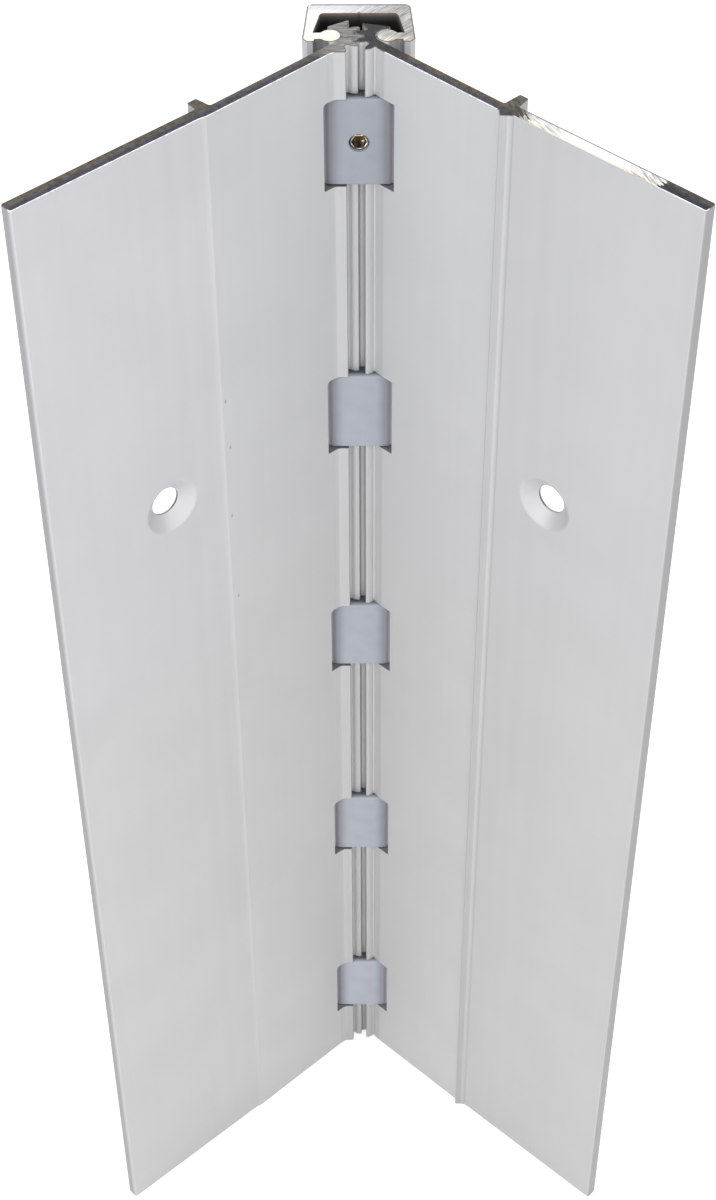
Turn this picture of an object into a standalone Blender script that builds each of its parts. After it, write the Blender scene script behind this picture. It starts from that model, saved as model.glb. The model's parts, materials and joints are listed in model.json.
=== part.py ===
"""Geared continuous hinge, a 12 inch length of it, standing on end.

Two wide leaf extrusions mesh through gear segments along their inner edges. A
channel clamps the pair from behind, and its two beads are the pivots. Plastic
thrust bearings sit in notches milled through both knuckles.

Metres, +Z along the hinge. The two pivot axes are at X = -PIVOT and X = +PIVOT,
both at Y = 0; the cover channel is at +Y, and the leaves reach out to -Y.
"""

from math import acos, asin, atan2, cos, pi, radians, sin, sqrt, tan

import bmesh
import bpy
from mathutils import Matrix, Vector

MM = 0.001
INCH = 25.4 * MM

# Driving dimensions
LENGTH = 12 * INCH
PIVOT = 5.2 * MM                    # half the distance between the pivot axes
REST_HALF_ANGLE = radians(47.2)     # each leaf from the closed position
BEARING_PITCH = 2.5625 * INCH
BEARING_COUNT = 5
FIRST_NOTCH = 15.4 * MM             # the lowest notch's lower edge
NOTCH_HEIGHT = 0.75 * INCH

# Gear segments: twelve teeth to a full circle, involute
TOOTH_ANGLE = radians(30)
MODULE = 2 * PIVOT * TOOTH_ANGLE / (2 * pi)
PRESSURE_ANGLE = radians(25)
ADDENDUM = 0.93 * MODULE
DEDENDUM = 1.12 * MODULE
BACKLASH = 0.10 * MM                # taken off each tooth's thickness
ROOT_FILLET = 0.25 * MM
TIP_ROUND = 0.12 * MM
FLANK_STEPS = 4
TEETH = 4                           # behind the frame leaf's nose, and on the door leaf
TIP_RADIUS = PIVOT + ADDENDUM
ROOT_RADIUS = PIVOT - DEDENDUM
FRONT_TOOTH = radians(74.3)         # the frame leaf's front tooth, from the leaf's direction
DOOR_TOOTH = FRONT_TOOTH + TOOTH_ANGLE / 2

# Leaf section, in leaf coordinates: u along the leaf from its pivot, w to its front
LEAF_REACH = 74.0 * MM
FRONT = 4.4 * MM                    # front face's distance from the pivot axis
BACK = 2.15 * MM                    # back face's distance, which is also the socket's radius
OUTER_THICKNESS = 2.75 * MM
BEND = 32.2 * MM                    # where the outer section starts
EDGE_CHAMFER = 0.28 * MM
GEAR_END_ANGLE = radians(236)       # where the wrap round the bead stops
GEAR_END_RADIUS = 3.0 * MM
NOTCH_REACH = 5.75 * MM
RIB_FILLET = 0.45 * MM
RIB_TIP_ROUND = 0.25 * MM

# What differs between the leaves: the outer section, and the notch's (lower, upper) corners
FRAME_BEND_ANGLE = radians(1.03)
FRAME_SET_BACK = 0.27 * MM
FRAME_NOTCH_CORNERS = (0.3 * MM, 0.8 * MM)
DOOR_BEND_ANGLE = radians(0.67)
DOOR_SET_BACK = 0.35 * MM
DOOR_NOTCH_CORNERS = (0.15 * MM, 0.15 * MM)

# The frame leaf's front: its crease (u), and the ramp onto the nose (u, height over the front face)
CREASE_START = 32.7 * MM
CREASE_END = 34.0 * MM
NOSE_RAMP = [
    (4.6 * MM, 0),
    (3.4 * MM, 0.14 * MM),
    (2.85 * MM, 0.32 * MM),
]

# The door leaf's front: its barb, from the inside out, and the valley beside the gear
BARB_START = 29.95 * MM
BARB_TIP = 31.1 * MM
BARB_KNEE = 32.15 * MM
BARB_END = 33.05 * MM
BARB_TIP_HEIGHT = 1.15 * MM         # over the inner part's front face
BARB_KNEE_HEIGHT = 0.6 * MM         # over the outer section's front face
BARB_TIP_ROUND = 0.12 * MM
VALLEY_START = 2.9 * MM
VALLEY_RISE = 0.2 * MM              # the valley's foot over the gear's root

# Screw hole, one in each leaf
HOLE_HEIGHT = 221.0 * MM
FRAME_HOLE_REACH = 46.0 * MM
DOOR_HOLE_REACH = 45.2 * MM
COUNTERSINK_RADIUS = 6.0 * MM
HOLE_RADIUS = 3.1 * MM
COUNTERSINK_DEPTH = 2.3 * MM

# Cover channel
BEAD_RADIUS = 1.95 * MM
NECK_TOP = 1.0 * MM
NECK_BOTTOM = -1.2 * MM
NECK_FILLET = 0.15 * MM
LIP_END = -1.9 * MM
LIP_INNER = 8.0 * MM
LIP_NECK = 7.9 * MM                 # the lip's inner side where it meets the neck
LIP_OUTER = 9.3 * MM
LIP_SHOULDER = -1.0 * MM            # where the side turns in towards the lip's end
LIP_SHOULDER_ROUND = 0.5 * MM
LIP_OUTER_ROUND = 0.25 * MM
LIP_INNER_ROUND = 0.15 * MM
COVER_HALF_WIDTH = 10.2 * MM        # at the lips
COVER_BACK_HALF = 9.4 * MM          # at the back corners
COVER_BACK = 10.5 * MM
COVER_CORNER = 1.1 * MM
CAVITY_TOP = 7.35 * MM
CAVITY_TOP_HALF = 6.95 * MM
CAVITY_FOOT_HALF = 8.2 * MM
CAVITY_CORNER = 0.9 * MM
GROOVE_HALF = 0.35 * MM             # a scribe groove in the middle of the cavity's ceiling

# Thrust bearing and its set screw
BEARING_REACH = 5.1 * MM            # front face, in front of the pivots
BEARING_BLOCK_HALF = 6.9 * MM       # the front block's half width
BEARING_CORNER = 1.6 * MM
BEARING_SHOULDER = -3.4 * MM        # the round shoulders' fronts, behind the block
SHOULDER_SLOPE = 0.3 * MM           # how far the shoulder falls back towards the block
SHOULDER_RADIUS = 5.4 * MM
BEARING_SOCKET = 2.2 * MM
BEARING_SIDE_GAP = 0.3 * MM
BEARING_LIP_GAP = 0.35 * MM
BEARING_END_GAP = 0.15 * MM
SCREW_RADIUS = 1.8 * MM
SCREW_HOLE_RADIUS = 1.95 * MM
SCREW_RECESS = 0.35 * MM
SCREW_SOCKET_FLATS = 2.6 * MM
SCREW_SOCKET_DEPTH = 2.2 * MM
SCREW_CHAMFER = 0.3 * MM

ARC_STEP = radians(8)
WELD = 0.000001
OVERSHOOT = 2 * MM                  # how far a cutter passes the face it leaves through


# ---------------------------------------------------------------- scene

def clear_scene():
    for thing in list(bpy.data.objects):
        bpy.data.objects.remove(thing, do_unlink=True)


def new_collection(name):
    collection = bpy.data.collections.new(name)
    bpy.context.scene.collection.children.link(collection)
    return collection


def principled(name, color, roughness, metallic):
    material = bpy.data.materials.new(name)
    material.use_nodes = True
    shader = material.node_tree.nodes["Principled BSDF"]
    shader.inputs["Base Color"].default_value = (*color, 1)
    shader.inputs["Roughness"].default_value = roughness
    shader.inputs["Metallic"].default_value = metallic
    return material


# ---------------------------------------------------------------- outlines

def polar(radius, angle, center=(0, 0)):
    return center[0] + radius * cos(angle), center[1] + radius * sin(angle)


def arc(center, radius, start, end, step=ARC_STEP):
    """Points on an arc, both ends included."""
    count = max(1, round(abs(end - start) / step))
    return [polar(radius, start + (end - start) * i / count, center) for i in range(count + 1)]


def fillet(before, corner, after, radius, segments=3):
    """The points that round one corner of an outline."""
    corner = Vector(corner)
    to_before = (Vector(before) - corner).normalized()
    to_after = (Vector(after) - corner).normalized()
    half = to_before.angle(to_after) / 2
    middle = corner + (to_before + to_after).normalized() * radius / sin(half)
    tangent_in = corner + to_before * radius / tan(half) - middle
    tangent_out = corner + to_after * radius / tan(half) - middle
    start = atan2(tangent_in.y, tangent_in.x)
    sweep = atan2(tangent_out.y, tangent_out.x) - start
    sweep = (sweep + pi) % (2 * pi) - pi
    return [polar(radius, start + sweep * i / segments, middle) for i in range(segments + 1)]


def round_corners(corners):
    """A closed outline from (x, y, fillet radius) corners."""
    outline = []
    for i, (x, y, radius) in enumerate(corners):
        if radius == 0:
            outline.append((x, y))
            continue
        before = corners[i - 1][:2]
        after = corners[(i + 1) % len(corners)][:2]
        outline += fillet(before, (x, y), after, radius)
    return outline


# ---------------------------------------------------------------- gear

def involute(angle):
    return tan(angle) - angle


def half_tooth(radius):
    """Half a tooth's angle at a radius; its flank is radial inside the base circle."""
    base = PIVOT * cos(PRESSURE_ANGLE)
    at_pitch = (pi * MODULE / 2 - BACKLASH) / 2 / PIVOT
    flank = acos(min(1, base / radius))
    return at_pitch + involute(PRESSURE_ANGLE) - involute(flank)


def flank_points(center, side):
    """One flank from the root to the tip, with side -1 before the tooth's centre and +1 after."""
    flank_start = ROOT_RADIUS + ROOT_FILLET
    flank_end = TIP_RADIUS - TIP_ROUND
    foot_angle = half_tooth(ROOT_RADIUS) + ROOT_FILLET / ROOT_RADIUS
    points = [polar(ROOT_RADIUS, center + side * foot_angle)]
    for i in range(FLANK_STEPS + 1):
        radius = flank_start + (flank_end - flank_start) * i / FLANK_STEPS
        points.append(polar(radius, center + side * half_tooth(radius)))
    points.append(polar(TIP_RADIUS, center + side * half_tooth(TIP_RADIUS) / 2))
    return points


def tooth(center):
    return flank_points(center, -1) + flank_points(center, 1)[::-1]


# ---------------------------------------------------------------- sections

def knuckle(first_tooth):
    """The gear's outline from its front end to its back end, then the bead socket's arc."""
    points = []
    for i in range(TEETH - 1):
        points += tooth(first_tooth + i * TOOTH_ANGLE)
    last = first_tooth + (TEETH - 1) * TOOTH_ANGLE
    points += flank_points(last, -1)
    points.append(polar(TIP_RADIUS, last + half_tooth(TIP_RADIUS) / 2))
    points.append(polar(GEAR_END_RADIUS, GEAR_END_ANGLE))
    points += arc((0, 0), BACK, GEAR_END_ANGLE, pi / 2)
    return points


class OuterSection:
    """Maps distances along and behind the front plane onto the slightly bent outer part."""

    def __init__(self, bend_angle, set_back):
        self.along = Vector((cos(bend_angle), -sin(bend_angle)))
        self.front = Vector((sin(bend_angle), cos(bend_angle)))
        self.start = Vector((BEND, FRONT)) - self.front * set_back

    def point(self, u, depth):
        place = self.start + self.along * (u - BEND) - self.front * depth
        return place.x, place.y


def rib(outer, root_in, root_out, tip_in, tip_out, depth):
    """The rib on the back, as corners that run outwards along the leaf."""
    tip_w = FRONT - depth
    return [
        (root_in, BACK, RIB_FILLET),
        (tip_in, tip_w, RIB_TIP_ROUND),
        (tip_out, tip_w, RIB_TIP_ROUND),
        (*outer.point(root_out, OUTER_THICKNESS), RIB_FILLET),
    ]


def outer_end(outer):
    chamfer = EDGE_CHAMFER
    return [
        (*outer.point(LEAF_REACH - chamfer, OUTER_THICKNESS), 0),
        (*outer.point(LEAF_REACH, OUTER_THICKNESS - chamfer), 0),
        (*outer.point(LEAF_REACH, chamfer), 0),
        (*outer.point(LEAF_REACH - chamfer, 0), 0),
    ]


def frame_leaf_section(outer):
    back_and_end = rib(outer, root_in=30.0 * MM, root_out=32.7 * MM,
                       tip_in=30.45 * MM, tip_out=32.45 * MM, depth=5.45 * MM)
    back_and_end += outer_end(outer)
    crease = [
        (*outer.point(CREASE_END, 0), 0),
        (CREASE_START, FRONT, 0),
    ]
    ramp = [(u, FRONT + height, 0) for u, height in NOSE_RAMP]
    nose_tip = [polar(TIP_RADIUS, FRONT_TOOTH - half_tooth(TIP_RADIUS) / 2)]
    nose_back = flank_points(FRONT_TOOTH, 1)[::-1]
    gear = knuckle(FRONT_TOOTH + TOOTH_ANGLE)
    return round_corners(back_and_end + crease + ramp) + nose_tip + nose_back + gear


def door_leaf_section(outer):
    back_and_end = rib(outer, root_in=29.3 * MM, root_out=32.0 * MM,
                       tip_in=29.6 * MM, tip_out=31.5 * MM, depth=6.15 * MM)
    back_and_end += outer_end(outer)
    barb = [
        (*outer.point(BARB_END, 0), 0),
        (*outer.point(BARB_KNEE, -BARB_KNEE_HEIGHT), 0),
        (BARB_TIP, FRONT + BARB_TIP_HEIGHT, BARB_TIP_ROUND),
        (BARB_START, FRONT, 0),
    ]
    valley = [
        (VALLEY_START, FRONT, 0),
        (*polar(ROOT_RADIUS + VALLEY_RISE, FRONT_TOOTH), 0),
    ]
    return round_corners(back_and_end + barb + valley) + knuckle(DOOR_TOOTH)


def mirrored(outline):
    return [(-x, y) for x, y in reversed(outline)]


def cover_section():
    neck_angle = asin(NECK_BOTTOM / BEAD_RADIUS)
    outer = round_corners([
        (0, COVER_BACK, 0),
        (COVER_BACK_HALF, COVER_BACK, COVER_CORNER),
        (COVER_HALF_WIDTH, LIP_SHOULDER, LIP_SHOULDER_ROUND),
        (LIP_OUTER, LIP_END, LIP_OUTER_ROUND),
        (LIP_INNER, LIP_END, LIP_INNER_ROUND),
        (LIP_NECK, NECK_BOTTOM, NECK_FILLET),
        (*polar(BEAD_RADIUS, neck_angle, (PIVOT, 0)), 0),
    ])
    bead = arc((PIVOT, 0), BEAD_RADIUS, neck_angle, asin(NECK_TOP / BEAD_RADIUS) - 2 * pi)
    inner = round_corners([
        (*bead[-1], 0),
        (CAVITY_FOOT_HALF, NECK_TOP, 0),
        (CAVITY_TOP_HALF, CAVITY_TOP, CAVITY_CORNER),
        (GROOVE_HALF, CAVITY_TOP, 0),
    ])
    half = outer[:-1] + bead + inner[1:]
    groove_top = [(0, CAVITY_TOP + GROOVE_HALF)]
    return half + groove_top + mirrored(half)[:-1]


def bearing_section():
    """A block in front, a round shoulder on each side of it, and a body that fills the cavity."""
    corner_center = (BEARING_BLOCK_HALF - BEARING_CORNER, BEARING_CORNER - BEARING_REACH)
    block = arc(corner_center, BEARING_CORNER, -pi / 2, 0)
    block.append((BEARING_BLOCK_HALF, BEARING_SHOULDER + SHOULDER_SLOPE))
    shoulder_back = LIP_END - BEARING_LIP_GAP
    shoulder = arc((PIVOT, 0), SHOULDER_RADIUS, asin(BEARING_SHOULDER / SHOULDER_RADIUS),
                   asin(shoulder_back / SHOULDER_RADIUS))
    back_line = NECK_TOP + BEARING_SIDE_GAP
    socket = arc((PIVOT, 0), BEARING_SOCKET, -pi / 2, asin(back_line / BEARING_SOCKET) - 2 * pi)
    gap = BEARING_SIDE_GAP
    cavity = round_corners([
        (*socket[-1], 0),
        (CAVITY_FOOT_HALF - gap, back_line, 0),
        (CAVITY_TOP_HALF - gap, CAVITY_TOP - gap, CAVITY_CORNER),
        (0, CAVITY_TOP - gap, 0),
    ])[1:-1]
    shoulder_foot = (PIVOT, shoulder_back)
    half = block + shoulder + [shoulder_foot] + socket[1:] + cavity
    return half + mirrored(half)


# ---------------------------------------------------------------- solids

def extrude_outline(name, outline, height, base, collection, location=(0, 0), turn=0):
    """A straight extrusion along Z, turned about its own origin and welded into one mesh."""
    curve = bpy.data.curves.new(name, "CURVE")
    curve.dimensions = "2D"
    curve.fill_mode = "BOTH"
    curve.extrude = height / 2
    curve.render_resolution_u = 0
    spline = curve.splines.new("POLY")
    spline.points.add(len(outline) - 1)
    for point, (x, y) in zip(spline.points, outline):
        point.co = (x, y, 0, 1)
    spline.use_cyclic_u = True
    guide = bpy.data.objects.new(name + "_outline", curve)
    collection.objects.link(guide)
    guide.location = (*location, base + height / 2)
    guide.rotation_euler.z = turn
    bpy.context.view_layer.update()

    graph = bpy.context.evaluated_depsgraph_get()
    mesh = bpy.data.meshes.new_from_object(guide.evaluated_get(graph))
    weld_mesh(mesh)
    solid = bpy.data.objects.new(name, mesh)
    mesh.name = name
    solid.matrix_world = guide.matrix_world
    collection.objects.link(solid)
    bpy.data.objects.remove(guide)
    bpy.data.curves.remove(curve)
    return solid


def weld_mesh(mesh):
    shape = bmesh.new()
    shape.from_mesh(mesh)
    bmesh.ops.remove_doubles(shape, verts=shape.verts, dist=WELD)
    bmesh.ops.recalc_face_normals(shape, faces=shape.faces)
    shape.to_mesh(mesh)
    shape.free()


def finish(solid, material):
    solid.data.materials.append(material)
    solid.data.shade_smooth()
    solid.data.set_sharp_from_angle(angle=radians(25))


def make_cutter(solid):
    solid.hide_render = True
    solid.display_type = "WIRE"
    return solid


def cut(solid, cutter):
    modifier = solid.modifiers.new(cutter.name, "BOOLEAN")
    modifier.operation = "DIFFERENCE"
    modifier.solver = "EXACT"
    modifier.object = cutter


def turned_cutter(name, profile, collection, matrix, sides=40):
    """A turned cutter from (radius, height) points that run from the top to the bottom."""
    shape = bmesh.new()
    rim = [shape.verts.new((radius, 0, height)) for radius, height in profile]
    for upper, lower in zip(rim, rim[1:]):
        shape.edges.new((upper, lower))
    mesh = bpy.data.meshes.new(name)
    shape.to_mesh(mesh)
    shape.free()
    solid = bpy.data.objects.new(name, mesh)
    collection.objects.link(solid)
    screw = solid.modifiers.new("Turn", "SCREW")
    screw.steps = sides
    screw.render_steps = sides
    screw.use_merge_vertices = True
    screw.merge_threshold = WELD
    solid.matrix_world = matrix
    return make_cutter(solid)


# ---------------------------------------------------------------- leaves

def notch_base(index):
    """The lower edge of a notch, counted from the top."""
    return FIRST_NOTCH + (BEARING_COUNT - 1 - index) * BEARING_PITCH


def notch_cutter(name, index, corners, direction, pivot, cutters):
    """A block with rounded outer corners, driven through one knuckle along the leaf's normal."""
    inner = -TIP_RADIUS - OVERSHOOT
    lower_corner, upper_corner = corners
    outline = round_corners([
        (inner, -NOTCH_HEIGHT / 2, 0),
        (NOTCH_REACH, -NOTCH_HEIGHT / 2, lower_corner),
        (NOTCH_REACH, NOTCH_HEIGHT / 2, upper_corner),
        (inner, NOTCH_HEIGHT / 2, 0),
    ])
    depth = 2 * (TIP_RADIUS + OVERSHOOT)
    block = extrude_outline(name, outline, depth, -depth / 2, cutters)
    along = Vector((cos(direction), sin(direction), 0))
    up = Vector((0, 0, 1))
    axes = Matrix((along, up, along.cross(up))).transposed().to_4x4()
    center = notch_base(index) + NOTCH_HEIGHT / 2
    block.matrix_world = Matrix.Translation((pivot, 0, center)) @ axes
    return make_cutter(block)


def screw_hole_cutter(solid, side, outer, hole_reach, cutters):
    """Countersink, hole and clearance past both faces, along the outer section's normal."""
    to_world = solid.matrix_world
    profile = [
        (0, OVERSHOOT),
        (COUNTERSINK_RADIUS, OVERSHOOT),
        (COUNTERSINK_RADIUS, 0),
        (HOLE_RADIUS, -COUNTERSINK_DEPTH),
        (HOLE_RADIUS, -OUTER_THICKNESS - OVERSHOOT),
        (0, -OUTER_THICKNESS - OVERSHOOT),
    ]
    u, w = outer.point(hole_reach, 0)
    normal = outer.front
    along = to_world.to_3x3() @ Vector((outer.along.x, side * outer.along.y, 0))
    out = to_world.to_3x3() @ Vector((normal.x, side * normal.y, 0))
    axes = Matrix((along, out.cross(along), out)).transposed().to_4x4()
    place = to_world @ Vector((u, side * w, HOLE_HEIGHT - LENGTH / 2))
    return turned_cutter(solid.name + "_hole", profile, cutters, Matrix.Translation(place) @ axes)


def leaf(name, section, side, notch_corners, material, parts, cutters):
    """side is +1 for the frame leaf, on the left, and -1 for the door leaf, its mirror."""
    outline = [(u, side * w) for u, w in section]
    direction = -pi / 2 - side * REST_HALF_ANGLE
    pivot = -side * PIVOT
    solid = extrude_outline(name, outline, LENGTH, 0, parts, (pivot, 0), direction)
    for index in range(BEARING_COUNT):
        notch_name = f"{name}_notch_{index + 1}"
        cut(solid, notch_cutter(notch_name, index, notch_corners, direction, pivot, cutters))
    finish(solid, material)
    return solid


def frame_leaf(material, parts, cutters):
    outer = OuterSection(FRAME_BEND_ANGLE, FRAME_SET_BACK)
    section = frame_leaf_section(outer)
    solid = leaf("frame_leaf", section, 1, FRAME_NOTCH_CORNERS, material, parts, cutters)
    cut(solid, screw_hole_cutter(solid, 1, outer, FRAME_HOLE_REACH, cutters))


def door_leaf(material, parts, cutters):
    outer = OuterSection(DOOR_BEND_ANGLE, DOOR_SET_BACK)
    section = door_leaf_section(outer)
    solid = leaf("door_leaf", section, -1, DOOR_NOTCH_CORNERS, material, parts, cutters)
    cut(solid, screw_hole_cutter(solid, -1, outer, DOOR_HOLE_REACH, cutters))


# ---------------------------------------------------------------- bearings and screw

def bearing(index, material, parts):
    height = NOTCH_HEIGHT - 2 * BEARING_END_GAP
    base = notch_base(index) + BEARING_END_GAP
    solid = extrude_outline(f"bearing_{index + 1}", bearing_section(), height, base, parts)
    finish(solid, material)
    return solid


def facing_front(height):
    """Frame of the set screw: its local +Z points out of the bearing's front face, to -Y."""
    axes = Matrix(((1, 0, 0), (0, 0, -1), (0, 1, 0))).to_4x4()
    return Matrix.Translation((0, -BEARING_REACH, height)) @ axes


def set_screw(top_bearing, material, parts, cutters):
    height = notch_base(0) + NOTCH_HEIGHT / 2
    depth = BEARING_REACH + CAVITY_TOP
    hole = turned_cutter("screw_hole", [
        (0, OVERSHOOT),
        (SCREW_HOLE_RADIUS, OVERSHOOT),
        (SCREW_HOLE_RADIUS, -depth - OVERSHOOT),
        (0, -depth - OVERSHOOT),
    ], cutters, facing_front(height), sides=32)
    cut(top_bearing, hole)

    shape = bmesh.new()
    top = -SCREW_RECESS
    bottom = -(depth - BEARING_SIDE_GAP)
    bmesh.ops.create_cone(shape, cap_ends=True, segments=32, radius1=SCREW_RADIUS,
                          radius2=SCREW_RADIUS, depth=top - bottom)
    rims = [edge for edge in shape.edges if abs(edge.verts[0].co.z - edge.verts[1].co.z) < WELD]
    bmesh.ops.bevel(shape, geom=rims, offset=SCREW_CHAMFER, segments=1, affect="EDGES")
    bmesh.ops.translate(shape, verts=shape.verts, vec=(0, 0, (top + bottom) / 2))
    mesh = bpy.data.meshes.new("bearing_set_screw")
    shape.to_mesh(mesh)
    shape.free()
    screw = bpy.data.objects.new("bearing_set_screw", mesh)
    parts.objects.link(screw)
    screw.matrix_world = facing_front(height)

    across_corners = SCREW_SOCKET_FLATS / sqrt(3)
    hexagon = [polar(across_corners, i * pi / 3) for i in range(6)]
    drive = extrude_outline("screw_socket", hexagon, SCREW_SOCKET_DEPTH + OVERSHOOT,
                            -SCREW_RECESS - SCREW_SOCKET_DEPTH, cutters)
    drive.matrix_world = facing_front(height) @ drive.matrix_world
    cut(screw, make_cutter(drive))
    finish(screw, material)


def build():
    clear_scene()
    parts = new_collection("piano_hinge")
    cutters = new_collection("cutters")
    aluminium = principled("satin_anodised_aluminium", (0.60, 0.60, 0.61), 0.38, 0.9)
    cover_metal = principled("cover_aluminium", (0.60, 0.60, 0.61), 0.35, 0.9)
    plastic = principled("grey_bearing_plastic", (0.38, 0.41, 0.47), 0.5, 0)
    brass = principled("brass", (0.72, 0.55, 0.28), 0.3, 1)

    frame_leaf(aluminium, parts, cutters)
    door_leaf(aluminium, parts, cutters)
    cover = extrude_outline("cover_channel", cover_section(), LENGTH, 0, parts)
    finish(cover, cover_metal)
    bearings = [bearing(index, plastic, parts) for index in range(BEARING_COUNT)]
    set_screw(bearings[0], brass, parts, cutters)


build()
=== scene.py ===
"""Looks of a geared continuous hinge: finished pieces, materials, studio and camera on its CAD frame."""

import json
from math import cos, radians, sin

import bmesh
import bpy
from mathutils import Matrix, Vector

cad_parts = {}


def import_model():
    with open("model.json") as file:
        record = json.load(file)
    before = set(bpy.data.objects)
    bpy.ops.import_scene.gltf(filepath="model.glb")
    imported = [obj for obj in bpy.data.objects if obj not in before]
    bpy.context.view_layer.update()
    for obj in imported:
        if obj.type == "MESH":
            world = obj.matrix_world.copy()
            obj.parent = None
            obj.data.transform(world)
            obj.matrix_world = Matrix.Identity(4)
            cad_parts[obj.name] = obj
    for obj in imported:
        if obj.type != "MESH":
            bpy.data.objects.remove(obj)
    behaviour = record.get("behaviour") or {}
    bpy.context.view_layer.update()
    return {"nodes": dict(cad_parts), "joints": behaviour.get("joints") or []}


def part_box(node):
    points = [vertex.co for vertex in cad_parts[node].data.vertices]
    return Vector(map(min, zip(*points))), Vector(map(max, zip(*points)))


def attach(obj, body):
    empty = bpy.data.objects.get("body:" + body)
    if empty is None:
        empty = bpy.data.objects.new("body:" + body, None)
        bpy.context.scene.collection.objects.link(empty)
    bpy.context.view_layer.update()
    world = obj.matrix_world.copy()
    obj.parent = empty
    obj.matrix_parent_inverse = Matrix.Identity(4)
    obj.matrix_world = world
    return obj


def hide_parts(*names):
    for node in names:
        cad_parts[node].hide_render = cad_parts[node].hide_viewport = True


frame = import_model()

MM = 0.001
LEFT, RIGHT = -1, 1                 # the frame leaf's side and the door leaf's side

# Places from the frame
FRAME_PIVOT, DOOR_PIVOT = frame["joints"]
REST_HALF_ANGLE = radians(-FRAME_PIVOT["range_deg"][0])
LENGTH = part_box("cover_channel")[1].z
BEARINGS = [f"bearing_{number}" for number in range(1, 6)]
SCREW_HEIGHT = sum(corner.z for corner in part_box("bearing_set_screw")) / 2

# Leaf distances, in millimetres along the leaf from its pivot (u) and in front of it (w)
NOSE = 2.9                          # where the gear ends and the plate's front starts
RIB = 31.0                          # the frame leaf's rib
BARB = 31.6                         # the crest of the door leaf's barb
BEND = 32.2                         # where the outer section starts
GLARE_START = 35.4                  # the door leaf's end glares from here ...
GLARE_END = 64.2                    # ... to here
REACH = 74.0
FRONT = 4.4
THICKNESS = 2.75                    # of the outer section
OUTER_SLOPE = {LEFT: 0.018, RIGHT: 0.0117}
OUTER_SET_BACK = {LEFT: 0.27, RIGHT: 0.35}
HOLE_REACH = {LEFT: 46.0, RIGHT: 45.2}
HOLE_HEIGHT = 221.0
HOLE_RADIUS = 3.1
HOLE_DEPTH = 2.3                    # where the countersink's cone meets its hole

# Gear distances, in millimetres from the leaf's pivot
SOCKET_WALL = 3.0                   # the bead socket's wall is within this
TOOTH_ROOT = 4.6
TOOTH_TIP = 5.8

# Cover and bearing distances, in millimetres; y is behind the pivots
CHANNEL_HALF_WIDTH = 8.25
CHANNEL_BACK = 7.85                 # the channel's faces are in front of this
LIP_BACK = 0.6                      # the lips' inner sides end here and the channel starts
BEAD_RADIUS = 2.2
OUTLINE_SIDE = 9.8                  # the sawn end's outline of painted shade starts here ...
OUTLINE_BACK = 9.95                 # ... and here
BEARING_SIDE = 6.05                 # the bearing's side faces are beyond this
BEARING_FRONT = -4.95               # its front face is in front of this
GATE_MARK = (0.4, 3.6)              # from the bearing's middle and its lower end
GATE_MARK_RADIUS = 0.6
SCREW_SOCKET_RADIUS = 1.25
SCREW_FACE = -4.65                  # its socket's walls are behind this

# Finishing
WELD = 0.01 * MM
FLAT = radians(0.2)                 # faces this close to one plane become one face
SHARP = radians(28)
END_ARRIS = 0.11 * MM               # the sawn ends' deburred edges
RIM_ROUND = 0.3 * MM                # the countersinks' rims
RIM_EDGE = 1.2 * MM                 # the rims' edges are shorter than this
BEARING_ROUND = 0.4 * MM
EXTRUDED, SAWN, ARRIS = range(3)    # material slots of every extruded piece
SAW_MARK_DEPTH = 0.02               # millimetres of relief in the material


# ---------------------------------------------------------------- shader building

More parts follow.
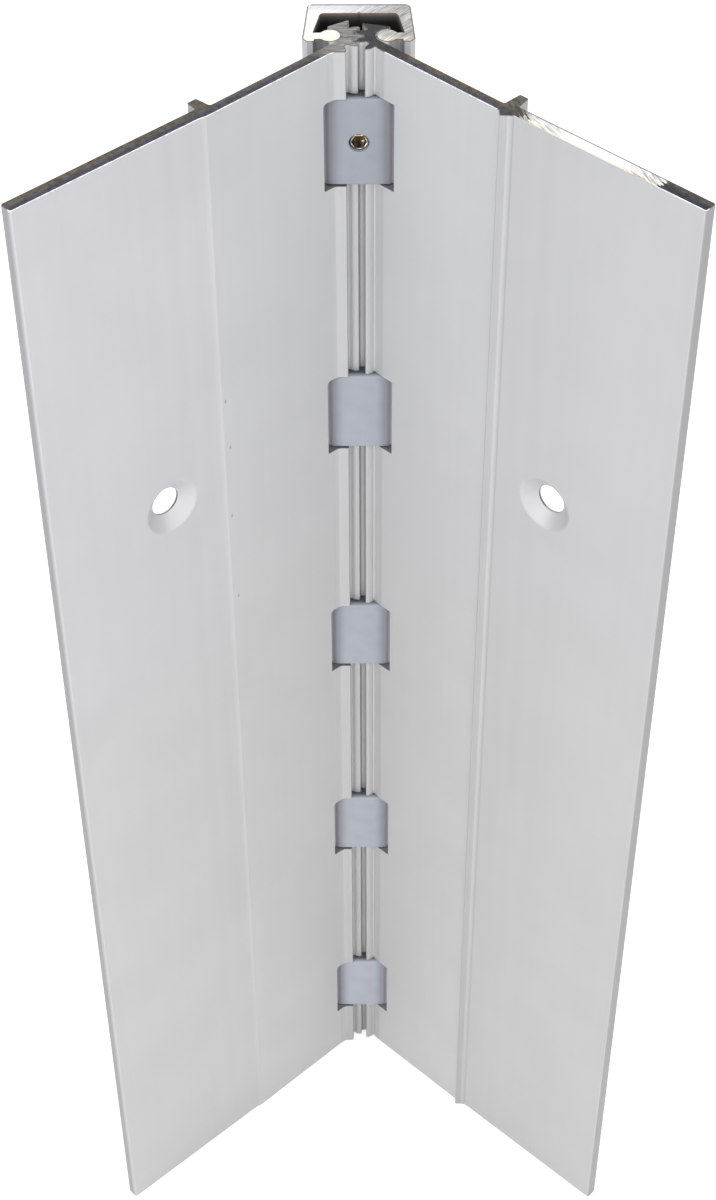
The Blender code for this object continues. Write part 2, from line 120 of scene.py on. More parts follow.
class Nodes:
    """Short calls that add nodes to a tree and link them."""

    def __init__(self, tree):
        self.tree = tree

    def feed(self, socket, value):
        if isinstance(value, bpy.types.NodeSocket):
            self.tree.links.new(value, socket)
        else:
            socket.default_value = value

    def node(self, kind, inputs, **settings):
        node = self.tree.nodes.new("ShaderNode" + kind)
        for key, value in settings.items():
            setattr(node, key, value)
        for key, value in inputs.items():
            self.feed(node.inputs[key], value)
        return node

    def vector(self, operation, a, b=(0, 0, 0), scale=1.0):
        node = self.node("VectorMath", {0: a}, operation=operation)
        if operation == "SCALE":
            self.feed(node.inputs["Scale"], scale)
        else:
            self.feed(node.inputs[1], b)
        return node.outputs["Value" if operation in ("DOT_PRODUCT", "DISTANCE") else "Vector"]

    def split(self, vector):
        return self.node("SeparateXYZ", {0: vector}).outputs

    def join(self, x, y, z):
        return self.node("CombineXYZ", {0: x, 1: y, 2: z}).outputs[0]

    def math(self, operation, a, b=0.0):
        return self.node("Math", {0: a, 1: b}, operation=operation).outputs[0]

    def add(self, a, b):
        return self.math("ADD", a, b)

    def times(self, a, b):
        return self.math("MULTIPLY", a, b)

    def span(self, value, start, end, low=0.0, high=1.0):
        """low before start, high after end, and a smooth change between them."""
        inputs = {"Value": value, "From Min": start, "From Max": end, "To Min": low, "To Max": high}
        return self.node("MapRange", inputs, interpolation_type="SMOOTHSTEP").outputs["Result"]

    def band(self, value, center, half_width, soft):
        """1 within half_width of center, and 0 beyond it."""
        away = self.math("ABSOLUTE", self.math("SUBTRACT", value, center))
        return self.span(away, half_width, half_width + soft, 1, 0)

    def noise(self, vector, scale=1.0, detail=2.0, roughness=0.5):
        inputs = {"Vector": vector, "Scale": scale, "Detail": detail, "Roughness": roughness}
        return self.node("TexNoise", inputs).outputs["Fac"]

    def lines(self, value, scale, detail=2.0):
        """Noise along one distance only."""
        inputs = {"W": value, "Scale": scale, "Detail": detail}
        return self.node("TexNoise", inputs, noise_dimensions="1D").outputs["Fac"]

    def mix(self, factor, a, b):
        node = self.tree.nodes.new("ShaderNodeMix")
        node.data_type = "RGBA"
        self.feed(node.inputs[0], factor)
        self.feed(node.inputs[6], color_of(a))
        self.feed(node.inputs[7], color_of(b))
        return node.outputs[2]

    def blend(self, factor, a, b):
        """A number between a and b."""
        node = self.tree.nodes.new("ShaderNodeMix")
        for socket, value in zip((node.inputs[0], node.inputs[2], node.inputs[3]), (factor, a, b)):
            self.feed(socket, value)
        return node.outputs[0]

    def shade(self, color, amount):
        """A colour times a brightness."""
        node = self.tree.nodes.new("ShaderNodeMix")
        node.data_type = "RGBA"
        node.blend_type = "MULTIPLY"
        self.feed(node.inputs[0], 1.0)
        self.feed(node.inputs[6], color_of(color))
        self.tree.links.new(self.join(amount, amount, amount), node.inputs[7])
        return node.outputs[2]


class Shader(Nodes):
    """A principled material. Its places and distances are in millimetres."""

    def __init__(self, name, roughness=0.5, metallic=0.0):
        self.material = bpy.data.materials.new(name)
        self.material.use_nodes = True
        super().__init__(self.material.node_tree)
        self.surface = self.tree.nodes["Principled BSDF"]
        self.set("Roughness", roughness)
        self.set("Metallic", metallic)
        coordinates = self.tree.nodes.new("ShaderNodeTexCoord")
        self.place = self.vector("SCALE", coordinates.outputs["Object"], scale=1 / MM)
        self.x, self.y, self.z = self.split(self.place)

    def set(self, socket, value):
        self.feed(self.surface.inputs[socket], value)

    def bump(self, height, distance):
        """Relief whose full height is distance, in millimetres."""
        inputs = {"Height": height, "Distance": distance * MM, "Strength": 1.0}
        self.set("Normal", self.node("Bump", inputs).outputs["Normal"])


def color_of(value):
    return (*value, 1) if isinstance(value, tuple) else value


def leaf_axes(side):
    """The leaf's direction from its pivot, and the direction its front faces."""
    along = Vector((side * sin(REST_HALF_ANGLE), -cos(REST_HALF_ANGLE), 0))
    front = Vector((-side * cos(REST_HALF_ANGLE), -sin(REST_HALF_ANGLE), 0))
    return along, front


def outer_depth(shader, side, u, w):
    """How far each point is behind the outer section's front face, in millimetres."""
    fall = shader.times(shader.math("SUBTRACT", u, BEND), OUTER_SLOPE[side])
    return shader.math("SUBTRACT", FRONT - OUTER_SET_BACK[side], shader.add(fall, w))


def leaf_place(shader, side):
    """The leaf's own distances (u, w) at each point, in millimetres."""
    pivot = Vector((FRAME_PIVOT if side == LEFT else DOOR_PIVOT)["pos_m"]) / MM
    pivot.z = 0
    from_pivot = shader.vector("SUBTRACT", shader.place, tuple(pivot))
    along, front = leaf_axes(side)
    u = shader.vector("DOT_PRODUCT", from_pivot, tuple(along))
    w = shader.vector("DOT_PRODUCT", from_pivot, tuple(front))
    return u, w


def from_cut_end(shader):
    """How far each point is from the nearer cut end, in millimetres."""
    return shader.math("MINIMUM", shader.z, shader.math("SUBTRACT", LENGTH / MM, shader.z))


# ---------------------------------------------------------------- materials

def die_lines(shader, across):
    """Faint extrusion lines, from -1 to 1, that run the whole length."""
    coarse = shader.lines(across, 0.35, 1)
    fine = shader.lines(across, 2.6, 3)
    both = shader.add(shader.times(coarse, 1.2), shader.times(fine, 0.8))
    return shader.math("SUBTRACT", both, 1.0)


def leaf_face(side):
    """Clear-anodised extrusion: satin, etched nearly matt, and a little lilac high up on the frame leaf.
    Its inner section is painted lighter as painted light against the shade in the V, and its features carry
    painted light and shade.
    """
    left = side == LEFT
    shader = Shader("frame_leaf_anodised" if left else "door_leaf_anodised", metallic=0.45)
    u, w = leaf_place(shader, side)
    lines = die_lines(shader, u)
    high_up = shader.span(shader.z, 120, 290)
    outer_low = (0.53, 0.53, 0.53) if left else (0.50, 0.50, 0.50)
    outer_high = (0.57, 0.57, 0.597) if left else (0.522, 0.525, 0.535)
    # The inner section's colours are painted lighter than the outer's: painted light against the shade in
    # the V between the leaves. Both are brighter higher up.
    inner_low = (0.55, 0.55, 0.55)
    inner_high = (0.57, 0.575, 0.585)
    outer = shader.mix(high_up, outer_low, outer_high)
    inner = shader.mix(high_up, inner_low, inner_high)
    color = shader.mix(shader.span(u, BEND, BEND + 1), inner, outer)
    mottle = shader.span(shader.noise(shader.place, 0.05, 3), 0.3, 0.7, 0.985, 1.015)
    brightness = shader.add(shader.times(lines, 0.03), mottle)
    # Painted light and shade on the section's features.
    brightness = shader.times(brightness, painted_leaf_shade_and_die_line(shader, side, u, w))
    color = shader.shade(color, brightness)
    if left:
        mark_color = (0.2, 0.2, 0.2)
        color = shader.mix(scuffs(shader, u), color, mark_color)
    shader.set("Base Color", color)
    shader.set("Roughness", shader.add(0.5, shader.times(lines, 0.05)))
    long_grain = shader.join(shader.times(u, 9), shader.times(w, 9), shader.times(shader.z, 0.15))
    grain = shader.noise(long_grain, 1.0, 2)
    shader.bump(shader.add(shader.times(lines, 0.7), shader.times(grain, 0.3)), 0.003)
    return shader.material


def painted_leaf_shade_and_die_line(shader, side, u, w):
    """Painted light and shade on each feature of the section, as a brightness next to the plate's 1, and a
    die line at the door leaf's barb foot.
    """
    depth = outer_depth(shader, side, u, w)
    # Painted shade on the leaf's outer edge face. On the frame leaf it is lighter near the front, as a
    # painted highlight of the rounded edge.
    edge = shader.span(depth, 0.2, 1.2, 0.87, 0.6) if side == LEFT else 0.68
    edge = shader.blend(shader.span(u, REACH - 0.25, REACH - 0.1), 1.0, edge)
    # The gear by distance from the pivot: painted shade darkens the teeth towards their tips, and painted
    # light falls on the bead socket's wall.
    radius = shader.math("SQRT", shader.add(shader.times(u, u), shader.times(w, w)))
    root_tone, tip_tone = (1.0 if side == LEFT else 0.94), 0.84
    teeth = shader.span(radius, TOOTH_ROOT, TOOTH_TIP, root_tone, tip_tone)
    gear = shader.blend(shader.span(radius, SOCKET_WALL, SOCKET_WALL + 0.3), 1.6, teeth)
    painted_shade = shader.times(edge, shader.blend(shader.span(u, NOSE, NOSE + 0.4), gear, 1.0))
    # Painted shadow on the countersink's wall behind its cone.
    hole = (HOLE_REACH[side], HOLE_HEIGHT, 0)
    from_hole = shader.vector("DISTANCE", shader.join(u, shader.z, 0), hole)
    behind_cone = shader.span(depth, HOLE_DEPTH - 0.05, HOLE_DEPTH + 0.05)
    within_hole = shader.span(from_hole, HOLE_RADIUS + 0.1, HOLE_RADIUS + 0.2, 1, 0)
    hole_wall_painted_shadow = shader.times(within_hole, behind_cone)
    painted_shade = shader.times(painted_shade, shader.math("SUBTRACT", 1.0, shader.times(hole_wall_painted_shadow, 0.7)))
    if side == LEFT:
        # The frame leaf's ramp is a little darker, and painted shade darkens its rib.
        ramp = shader.times(shader.band(u, 3.95, 0.6, 0.15), shader.span(w, FRONT - 0.1, FRONT))
        rib = shader.times(shader.span(w, 0.7, 1.0, 1, 0), shader.band(u, RIB, 2, 0.5))
        darker = shader.add(shader.times(ramp, 0.08), shader.times(rib, 0.35))
        return shader.times(painted_shade, shader.math("SUBTRACT", 1.0, darker))
    # Painted shade on the door leaf's barb crest and face. The dark foot is a die line.
    crest = shader.times(shader.band(u, BARB, 0.5, 0.1), 0.14)
    barb = shader.times(shader.band(u, BARB + 0.4, 0.9, 0.1), 0.11)
    foot = shader.times(shader.band(u, BARB + 1.45, 0.06, 0.08), 0.15)
    darker = shader.add(shader.add(crest, barb), foot)
    return shader.times(painted_shade, shader.math("SUBTRACT", 1.0, darker))


def scuffs(shader, u):
    """Four small marks beside the frame leaf's crease."""
    squashed = shader.join(u, shader.times(shader.z, 0.5), 0)
    marks = 0.0
    for reach, height in ((31.2, 187), (31.8, 210), (31.3, 228), (31.9, 240)):
        away = shader.vector("DISTANCE", squashed, (reach, height / 2, 0))
        marks = shader.math("MAXIMUM", marks, shader.span(away, 0.12, 0.32, 0.6, 0))
    return marks


def saw_marks(shader, angle, per_mm):
    """Streaks of a saw's teeth across a cut end, at an angle in degrees from the width of the hinge."""
    angle = radians(angle)
    along = shader.vector("DOT_PRODUCT", shader.place, (cos(angle), sin(angle), 0))
    across = shader.vector("DOT_PRODUCT", shader.place, (sin(angle), -cos(angle), 0))
    bent = shader.add(across, shader.times(shader.noise(shader.place, 0.12, 1), 2.1))
    streaks = shader.join(shader.times(bent, per_mm), shader.times(along, 0.23), 0)
    return shader.span(shader.noise(streaks, 1.0, 4, 0.6), 0.35, 0.65)


def smears(shader):
    """Cloudy dark and light patches on the cut metal."""
    return shader.span(shader.noise(shader.place, 1.1, 4, 0.6), 0.35, 0.65, 0.7, 1.3)


def milled(shader, end_color, color):
    """The end's colour on the sawn ends, and the other colour on the notches' milled faces."""
    return shader.mix(shader.span(from_cut_end(shader), 0.5, 1.0), end_color, color)


def frame_leaf_end():
    """The frame leaf's sawn end: dark smeared metal, brighter close to the gear."""
    shader = Shader("frame_leaf_sawn_end", metallic=0.7)
    u, w = leaf_place(shader, LEFT)
    marks = saw_marks(shader, angle=45, per_mm=2.7)
    cross = shader.join(shader.times(shader.x, 0.25), shader.times(shader.y, 3.5), 0)
    cross_streaks = shader.span(shader.noise(cross, 1.0, 3), 0.35, 0.65, 0.6, 1.5)
    near_front = shader.span(outer_depth(shader, LEFT, u, w), 0.8, 1.6, 1, 0)
    back_color = (0.083, 0.072, 0.057)
    front_color = (0.046, 0.045, 0.065)
    gear_color = (0.20, 0.195, 0.185)
    milled_color = (0.26, 0.26, 0.26)
    dark = shader.shade(shader.mix(near_front, back_color, front_color), smears(shader))
    gear = shader.shade(gear_color, cross_streaks)
    ragged = shader.add(u, shader.times(shader.noise(shader.place, 0.5, 3), 4.0))
    color = shader.mix(shader.span(ragged, 4.0, 9.0), gear, dark)
    shader.set("Base Color", milled(shader, color, milled_color))
    shader.set("Roughness", shader.add(0.4, shader.times(marks, 0.2)))
    shader.bump(marks, SAW_MARK_DEPTH)
    return shader.material


def door_leaf_end():
    """The door leaf's sawn end: dark up to the barb, glaring with saw marks beyond it, dark at its tip."""
    shader = Shader("door_leaf_sawn_end", metallic=0.7)
    u, w = leaf_place(shader, RIGHT)
    marks = saw_marks(shader, angle=-66, per_mm=2.4)
    depth = outer_depth(shader, RIGHT, u, w)
    strong_marks = shader.times(marks, 1.4)
    gear = shader.shade((0.022, 0.021, 0.021), shader.add(0.7, strong_marks))
    inner_back, inner_front = (0.085, 0.062, 0.045), (0.045, 0.05, 0.07)
    inner = shader.mix(shader.span(w, 3.1, 3.5), inner_back, inner_front)
    rib_back, rib_front, barb = (0.24, 0.235, 0.225), (0.07, 0.061, 0.052), (0.035, 0.031, 0.03)
    rib = shader.mix(shader.span(w, -3.2, -1.4), rib_back, rib_front)
    rib_and_barb = shader.mix(shader.span(w, 1.5, 4.5), rib, barb)
    rib_and_barb = shader.shade(rib_and_barb, shader.add(0.6, strong_marks))
    tip_front, tip_back = (0.025, 0.025, 0.04), (0.06, 0.053, 0.042)
    tip = shader.mix(shader.span(depth, 1.0, 1.8), tip_front, tip_back)
    dark = shader.mix(shader.span(u, 5.5, 8.0), gear, inner)
    dark = shader.mix(shader.span(u, 28.5, 29.5), dark, rib_and_barb)
    dark = shader.shade(shader.mix(shader.span(u, 50, 51), dark, tip), smears(shader))
    broken = shader.math("MAXIMUM", shader.span(u, 38, 46, 1, 0), shader.span(u, 55, 60))
    glare = shader.math("SUBTRACT", 1.0, shader.times(shader.times(marks, broken), 0.6))
    cream, white = (0.79, 0.75, 0.65), (0.84, 0.83, 0.795)
    bright = shader.shade(shader.mix(shader.span(depth, 0.4, 0.8), cream, white), glare)
    past_start = shader.span(shader.add(u, shader.times(marks, 3.0)), GLARE_START, GLARE_START + 1.4)
    before_end = shader.span(shader.add(u, shader.times(marks, 0.8)), GLARE_END, GLARE_END + 0.4, 1, 0)
    zone = shader.times(past_start, before_end)
    color = shader.mix(zone, dark, bright)
    back_line = shader.times(shader.span(depth, THICKNESS - 0.42, THICKNESS - 0.3), zone)
    color = shader.mix(back_line, color, (0.2, 0.19, 0.23))
    milled_color = (0.3, 0.3, 0.3)
    shader.set("Base Color", milled(shader, color, milled_color))
    shader.set("Roughness", shader.add(0.35, shader.times(marks, 0.25)))
    shader.bump(marks, SAW_MARK_DEPTH)
    return shader.material


def cover_face():
    """The cover's extruded faces. Inside the channel it is brown at its ends, with painted shade going to
    black away from them, and the lips' inner sides carry painted shade, darker on the left.
    """
    shader = Shader("cover_anodised", metallic=0.6)
    lines = die_lines(shader, shader.add(shader.x, shader.times(shader.y, 1.7)))
    body = shader.shade((0.55, 0.55, 0.555), shader.add(1.0, shader.times(lines, 0.12)))
    # Painted shade on the lips' inner sides, darker on the left than on the right.
    left_lip, right_lip = (0.2, 0.2, 0.2), (0.3, 0.3, 0.3)
    lip_side = shader.mix(shader.span(shader.x, -1, 1), left_lip, right_lip)
    lip_side = shader.shade(lip_side, shader.add(1.0, shader.times(lines, 0.5)))
    from_end = from_cut_end(shader)
    # Inside the channel: brown at the ends, then painted shade going to grey and to black away from them.
    brown, grey, black = (0.33, 0.265, 0.205), (0.19, 0.17, 0.155), (0.033, 0.032, 0.034)
    bead_color = (0.85, 0.84, 0.82)
    painted_channel_shade = shader.mix(shader.span(from_end, 0.0, 2.2), grey, black)
    painted_channel_shade = shader.mix(shader.span(from_end, 0.2, 0.8), brown, painted_channel_shade)
    hidden = shader.mix(shader.span(shader.y, LIP_BACK, LIP_BACK + 0.3), lip_side, painted_channel_shade)
    from_middle = shader.math("ABSOLUTE", shader.x)
    pivot_reach = DOOR_PIVOT["pos_m"][0] / MM
    from_pivot = shader.vector("DISTANCE", shader.join(from_middle, shader.y, 0), (pivot_reach, 0, 0))
    on_bead = shader.span(from_pivot, BEAD_RADIUS, BEAD_RADIUS + 0.2, 1, 0)
    bead = shader.times(on_bead, shader.span(from_middle, 5.0, 5.6, 1, 0))
    hidden = shader.mix(bead, hidden, bead_color)
    between_sides = shader.band(shader.x, 0, CHANNEL_HALF_WIDTH, 0.05)
    inside = shader.times(between_sides, shader.span(shader.y, CHANNEL_BACK, CHANNEL_BACK + 0.05, 1, 0))
    shader.set("Base Color", shader.mix(inside, body, hidden))
    shader.set("Roughness", shader.add(0.45, shader.times(lines, 0.06)))
    shader.bump(lines, 0.004)
    return shader.material


def cover_end():
    """The cover's sawn end: bare metal with diagonal saw marks, with painted light brightest on the left
    and fading to the right, and an outline of painted shade along its back and side edges.
    """
    shader = Shader("cover_sawn_end", metallic=0.8)
    marks = saw_marks(shader, angle=45, per_mm=3.5)
    # Painted light: the end and its back wall are painted brighter on the left and darker to the right.
    to_right = shader.span(shader.x, -7, 8)
    metal = shader.mix(to_right, (0.72, 0.71, 0.685), (0.46, 0.45, 0.44))
    back_wall = shader.mix(shader.span(shader.x, 0, 8), (0.62, 0.615, 0.64), (0.44, 0.43, 0.42))
    metal = shader.mix(shader.span(shader.y, 8.2, 8.8), metal, back_wall)
    lip_cream = (0.78, 0.72, 0.58)
    metal = shader.mix(shader.span(shader.y, -1.4, 0.2, 0.8, 0), metal, lip_cream)
    dark_marks = shader.times(marks, shader.add(0.12, shader.times(to_right, 0.5)))
    metal = shader.shade(metal, shader.math("SUBTRACT", 1.1, dark_marks))
    # Painted shade: a dark outline along the end's back and side edges.
    taper = 0.07
    beside = shader.add(shader.math("ABSOLUTE", shader.x), shader.times(shader.y, taper))
    at_back = shader.span(shader.y, OUTLINE_BACK, OUTLINE_BACK + 0.15)
    at_side = shader.span(beside, OUTLINE_SIDE, OUTLINE_SIDE + 0.1)
    outline = shader.times(shader.math("MAXIMUM", at_back, at_side), 0.85)
    shader.set("Base Color", shader.mix(outline, metal, (0.12, 0.12, 0.13)))
    shader.set("Roughness", shader.add(0.35, shader.times(marks, 0.2)))
    shader.bump(marks, SAW_MARK_DEPTH)
    return shader.material


def leaf_arris(side):
    """A leaf's broken edge: a painted highlight beside the front face, a painted cream reflection beside
    the glare, and painted shade under the barb and elsewhere.
    """
    shader = Shader("frame_leaf_arris" if side == LEFT else "door_leaf_arris", metallic=0.6)
    u, w = leaf_place(shader, side)
    front = shader.times(shader.span(w, 2.4, 2.8), shader.span(u, NOSE, NOSE + 0.7))
    nicks = shader.noise(shader.place, 0.9, 3)
    # Painted highlight where the broken edge meets the front face.
    bright = shader.shade((0.97, 0.97, 1.0), shader.span(nicks, 0.35, 0.6, 0.75, 1.05))
    if side == RIGHT:
        # Painted cream reflection beside the glare, and painted shade under the barb.
        beside_glare = shader.times(shader.span(u, 32.5, 34), shader.span(u, 63, 64, 1, 0))
        under_barb = shader.band(u, BARB - 0.3, 1.6, 0.2)
        bright = shader.mix(under_barb, bright, (0.16, 0.15, 0.14))
        bright = shader.mix(beside_glare, bright, (0.52, 0.5, 0.46))
    # Painted shade on the rest of the broken edge.
    arris_painted_shade = (0.12, 0.115, 0.11)
    shader.set("Base Color", shader.mix(front, arris_painted_shade, bright))
    shader.set("Roughness", shader.span(nicks, 0.3, 0.7, 0.22, 0.4))
    return shader.material


def cover_arris():
    """The cover's broken edge, a thin dark line of painted shade."""
    shader = Shader("cover_arris", roughness=0.35, metallic=0.7)
    nicks = shader.noise(shader.place, 0.9, 3)
    shader.set("Base Color", shader.shade((0.12, 0.12, 0.125), shader.span(nicks, 0.35, 0.6, 0.7, 1.3)))
    return shader.material


def bearing_plastic(name, height, brightness):
    """Moulded acetal: blue-grey, lilac towards its sides, with painted light and shade: lighter on the
    lower bearings, painted shade towards its sides and on its right half, painted light on its side faces
    and right edge, and a painted shadow on its top behind the front. It has a gate mark low on the front.
    """
    shader = Shader(name)
    grain = shader.noise(shader.place, 5.0, 3)
    cloud = shader.span(shader.noise(shader.place, 0.25, 2), 0.3, 0.7)
    color = shader.mix(cloud, (0.285, 0.305, 0.35), (0.305, 0.325, 0.37))
    base = shader.split(shader.node("ObjectInfo", {}).outputs["Location"])[2]
    # Painted light: the lower bearings are lighter.
    low_down = shader.span(shader.times(base, 1 / MM), 20, 110, 1.09, 1.0)
    brightness = shader.times(low_down, brightness)
    from_middle = shader.math("ABSOLUTE", shader.x)
    # Painted shade towards the sides and over the right half; painted light back on the side faces and
    # along the right edge.
    shading = shader.times(shader.span(from_middle, 3.0, 6.0, 1, 0.62), brightness)
    shading = shader.times(shading, shader.span(shader.x, -3, 4, 1, 0.93))
    on_side = shader.span(from_middle, BEARING_SIDE, BEARING_SIDE + 0.2)
    shading = shader.blend(on_side, shading, shader.times(brightness, 0.95))
    shading = shader.times(shading, shader.span(shader.x, 4.8, 5.8, 1, 1.25))
    # Painted shadow on the top face behind the front edge, under the gears.
    on_top = shader.span(shader.z, height - 0.5, height - 0.2)
    painted_dark = shader.times(on_top, shader.span(shader.y, -4.7, -3.6, 0, 0.75))
    shading = shader.times(shading, shader.math("SUBTRACT", 1.0, painted_dark))
    lilac = (0.305, 0.295, 0.34)
    color = shader.mix(shader.span(from_middle, 4.2, 5.8, 0, 0.8), color, lilac)
    color = shader.shade(color, shading)
    mark_x, mark_z = GATE_MARK
    away = shader.vector("DISTANCE", shader.join(shader.x, 0, shader.z), (mark_x, 0, mark_z))
    on_front = shader.span(shader.y, BEARING_FRONT, BEARING_FRONT + 0.1, 1, 0)
    gate = shader.times(shader.band(away, GATE_MARK_RADIUS, 0.06, 0.1), on_front)
    shader.set("Base Color", shader.mix(shader.times(gate, 0.2), color, (0.25, 0.27, 0.31)))
    shader.set("Roughness", shader.span(grain, 0.3, 0.7, 0.46, 0.58))
    shader.bump(shader.add(shader.times(grain, 0.15), shader.times(gate, -0.4)), 0.03)
    return shader.material


def screw_brass():
    """Turned brass with a painted glint on the lower right, rings round its axis, and painted shade in its
    socket.
    """
    shader = Shader("screw_brass", metallic=1.0)
    height = SCREW_HEIGHT / MM
    radius = shader.vector("DISTANCE", shader.join(shader.x, 0, shader.z), (0, 0, height))
    rings = shader.lines(radius, 9.0, 2)
    tarnish = shader.noise(shader.place, 1.2, 3)
    clean, tarnished, painted_glint = (0.58, 0.50, 0.40), (0.36, 0.30, 0.22), (0.95, 0.9, 0.85)
    metal = shader.mix(shader.span(tarnish, 0.4, 0.7), clean, tarnished)
    # Painted glint on the lower right.
    lower_right = shader.math("SUBTRACT", shader.add(shader.x, height), shader.z)
    metal = shader.mix(shader.span(lower_right, 0.8, 1.8), metal, painted_glint)
    # Painted shade in the socket.
    in_socket = shader.span(radius, SCREW_SOCKET_RADIUS, SCREW_SOCKET_RADIUS + 0.2, 1, 0)
    socket = shader.times(in_socket, shader.span(shader.y, SCREW_FACE, SCREW_FACE + 0.15))
    shader.set("Base Color", shader.mix(socket, metal, (0.11, 0.085, 0.05)))
    shader.set("Roughness", shader.span(tarnish, 0.3, 0.7, 0.24, 0.42))
    shader.bump(rings, 0.01)
    return shader.material


# ---------------------------------------------------------------- pieces

def open_shape(node):
    """A CAD node's mesh as whole, welded faces."""
    shape = bmesh.new()
    shape.from_mesh(frame["nodes"][node].data)
    bmesh.ops.remove_doubles(shape, verts=shape.verts, dist=WELD)
    bmesh.ops.dissolve_limit(shape, angle_limit=FLAT, verts=shape.verts, edges=shape.edges)
    return shape


def round_edges(shape, edges, radius, segments, slot=-1):
    bmesh.ops.bevel(shape, geom=edges, offset=radius, segments=segments, profile=0.5,
                    affect="EDGES", material=slot, clamp_overlap=False)


def finished_piece(shape, node, body, materials, location=(0, 0, 0)):
    """Makes the shape an object that stands for a CAD node and rides on its body."""
    mesh = bpy.data.meshes.new(node + "_finish")
    shape.to_mesh(mesh)
    shape.free()
    for material in materials:
        mesh.materials.append(material)
    mesh.shade_smooth()
    mesh.set_sharp_from_angle(angle=SHARP)
    return place_piece(mesh, node, body, location)


def place_piece(mesh, node, body, location):
    piece = bpy.data.objects.new(node + "_finish", mesh)
    bpy.context.scene.collection.objects.link(piece)
    piece.location = location
    weighted = piece.modifiers.new("Weighted normals", "WEIGHTED_NORMAL")
    weighted.keep_sharp = True
    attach(piece, body)
    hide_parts(node)
    return piece


def is_end_height(z):
    return min(abs(z), abs(z - LENGTH)) < WELD


def dress_ends(shape):
    """Marks the sawn ends and the notches' milled faces, and breaks the ends' edges."""
    for face in shape.faces:
        if abs(face.normal.z) > 0.9:
            face.material_index = SAWN
    edges = [
        edge for edge in shape.edges
        if all(is_end_height(vert.co.z) for vert in edge.verts)
        and sum(face.material_index == SAWN for face in edge.link_faces) == 1
    ]
    round_edges(shape, edges, END_ARRIS, 2, ARRIS)


def round_hole_rim(shape, side):
    """Rounds the countersink's rim, the only ring of edges on the outer section's front face."""
    along, front = leaf_axes(side)
    edges = []
    for edge in shape.edges:
        if edge.is_boundary or len(edge.link_faces) != 2:
            continue
        flats = [face for face in edge.link_faces if face.normal.dot(front) > cos(radians(3))]
        cones = [face for face in edge.link_faces if 0.4 < face.normal.dot(front) < 0.95]
        middle = (edge.verts[0].co + edge.verts[1].co) / 2
        off_the_ends = 0.2 * LENGTH < middle.z < 0.9 * LENGTH
        if flats and cones and off_the_ends and edge.calc_length() < RIM_EDGE:
            edges.append(edge)
    round_edges(shape, edges, RIM_ROUND, 3)


def leaf(node, body, side, end_material):
    shape = open_shape(node)
    round_hole_rim(shape, side)
    dress_ends(shape)
    materials = [leaf_face(side), end_material, leaf_arris(side)]
    finished_piece(shape, node, body, materials)


def cover():
    shape = open_shape("cover_channel")
    dress_ends(shape)
    materials = [cover_face(), cover_end(), cover_arris()]
    finished_piece(shape, "cover_channel", "cover", materials)


def bearing_shape(node):
    """A bearing about its own lower end, with the edges round its two ends rounded."""
    shape = open_shape(node)
    low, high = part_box(node)
    bmesh.ops.translate(shape, verts=shape.verts, vec=(0, 0, -low.z))
    height = high.z - low.z
    ends = [
        edge for edge in shape.edges
        if all(min(vert.co.z, height - vert.co.z) < WELD for vert in edge.verts)
        and edge.calc_face_angle(0) > radians(60)
    ]
    round_edges(shape, ends, BEARING_ROUND, 3)
    bmesh.ops.remove_doubles(shape, verts=shape.verts, dist=WELD)
    return shape


def bearings():
    """The top bearing has the screw's hole; the others share one mesh."""
    top, second, *lower = BEARINGS
    bases = [Vector((0, 0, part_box(node)[0].z)) for node in BEARINGS]
    height = (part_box(second)[1].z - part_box(second)[0].z) / MM
    # The top bearing's copy of the plastic is painted darker than the lower bearings' copy: painted shade
    # towards the top.
    locked = bearing_plastic("locked_bearing_plastic", height, 0.97)
    plain = bearing_plastic("bearing_plastic", height, 1.1)
    finished_piece(bearing_shape(top), top, "cover", [locked], bases[0])
    piece = finished_piece(bearing_shape(second), second, "cover", [plain], bases[1])
    for node, base in zip(lower, bases[2:]):
        place_piece(piece.data, node, "cover", base)


def set_screw():
    shape = open_shape("bearing_set_screw")
    finished_piece(shape, "bearing_set_screw", "cover", [screw_brass()])


# ---------------------------------------------------------------- studio

def floor():
    """A plain pale floor. The camera sees lit paper; the hinge sees a grey with a painted pool of light
    round its foot.
    """
    shader = Shader("pale_floor", roughness=0.9)
    mottle = shader.noise(shader.place, 0.02, 3)
    seen = shader.node("LightPath", {}).outputs["Is Camera Ray"]
    paper = shader.span(mottle, 0.3, 0.7, 0.995, 1.005)
    # Painted pool of light round the hinge's foot, seen only in reflections.
    away = shader.vector("DISTANCE", shader.place, (0, -120, 0))
    painted_light_pool = shader.mix(shader.span(away, 60, 450), (0.8, 0.8, 0.8), (0.66, 0.66, 0.66))
    shader.set("Base Color", shader.shade(shader.mix(seen, painted_light_pool, (0.4, 0.4, 0.4)), paper))
    shader.set("Emission Color", (1, 1, 1, 1))
    shader.set("Emission Strength", shader.times(seen, 0.72))
    bpy.ops.mesh.primitive_plane_add(size=6)
    plane = bpy.context.object
    plane.name = "studio_floor"
    plane.location.z = -0.3 * MM
    plane.data.materials.append(shader.material)


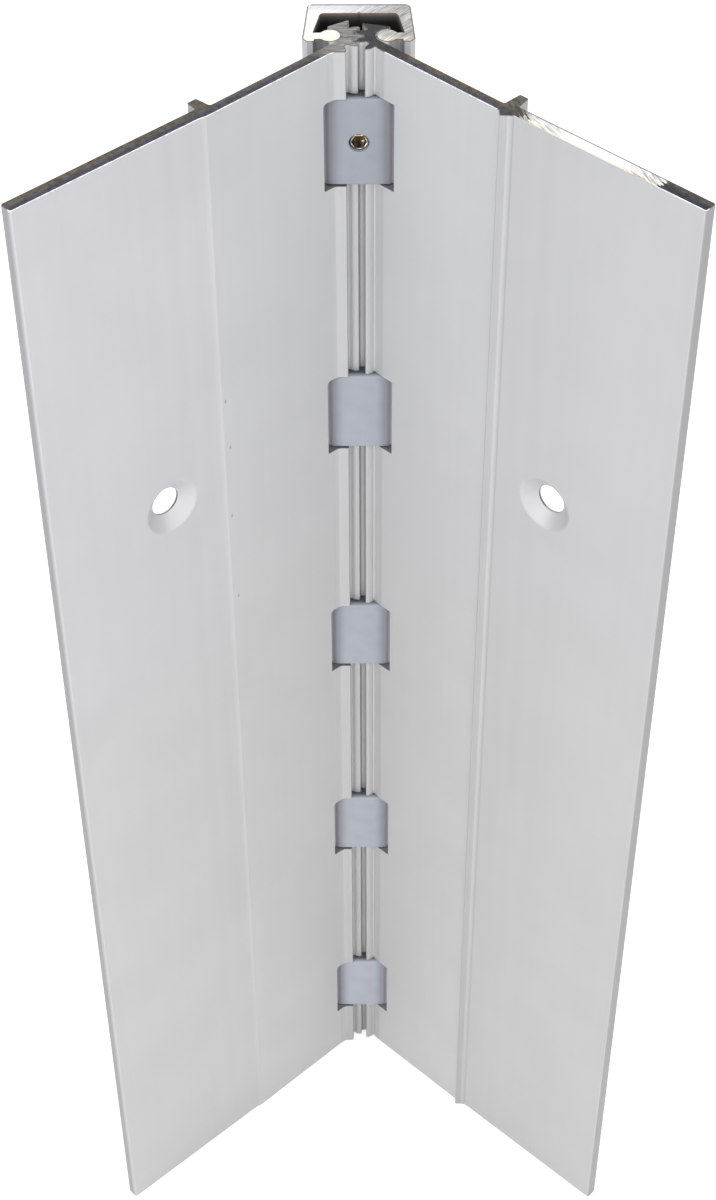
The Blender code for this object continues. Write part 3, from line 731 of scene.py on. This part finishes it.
def world():
    """A pale room, brightest in front and above, and above the back. The camera sees it as white paper."""
    surroundings = bpy.data.worlds.new("studio")
    surroundings.use_nodes = True
    bpy.context.scene.world = surroundings
    nodes = Nodes(surroundings.node_tree)
    direction = nodes.node("TexCoord", {}).outputs["Generated"]
    front = nodes.vector("DOT_PRODUCT", direction, (-0.15, -0.75, 0.64))
    behind = nodes.vector("DOT_PRODUCT", direction, (0.0, 0.64, 0.77))
    light = nodes.add(nodes.span(front, 0.1, 1.0, 0.5, 1.7), nodes.span(behind, 0.3, 1.0, 0.0, 0.9))
    background = surroundings.node_tree.nodes["Background"]
    seen = nodes.node("LightPath", {}).outputs["Is Camera Ray"]
    nodes.feed(background.inputs["Color"], (1, 1, 1, 1))
    nodes.feed(background.inputs["Strength"], nodes.blend(seen, light, 1.1))


def softbox(name, location, target, size, power, color=(1, 1, 1)):
    light = bpy.data.lights.new(name, "AREA")
    light.shape = "DISK"
    light.size = size
    light.energy = power
    light.color = color
    lamp = bpy.data.objects.new(name, light)
    bpy.context.scene.collection.objects.link(lamp)
    lamp.location = location
    aim = Vector(target) - Vector(location)
    lamp.rotation_euler = aim.to_track_quat("-Z", "Y").to_euler()


def camera():
    """Above the front, looking down by half a right angle, as a short telephoto sees it."""
    data = bpy.data.cameras.new("camera")
    data.sensor_width = 36
    data.lens = 73.07
    viewer = bpy.data.objects.new("camera", data)
    bpy.context.scene.collection.objects.link(viewer)
    place = Matrix.Translation((0.0014, -0.3794, 0.5435))
    yaw = Matrix.Rotation(radians(0.304), 4, "Z")
    pitch = Matrix.Rotation(radians(90 - 45.228), 4, "X")
    roll = Matrix.Rotation(radians(-0.269), 4, "Z")
    viewer.matrix_world = place @ yaw @ pitch @ roll
    bpy.context.scene.camera = viewer


def studio():
    floor()
    world()
    middle, foot = (0, 0, 0.15), (0, 0, 0)
    softbox("key_left", (-0.9, -0.7, 1.2), middle, size=0.9, power=3, color=(0.95, 0.95, 1.0))
    softbox("fill_right", (1.0, -0.5, 1.0), middle, size=0.9, power=2)
    softbox("low_bounce", (0.0, -0.45, 0.08), foot, size=0.3, power=0.15)
    bpy.context.scene.view_settings.view_transform = "Standard"
    camera()


# ---------------------------------------------------------------- build

leaf("frame_leaf", "frame", LEFT, frame_leaf_end())
leaf("door_leaf", "door", RIGHT, door_leaf_end())
cover()
bearings()
set_screw()
studio()
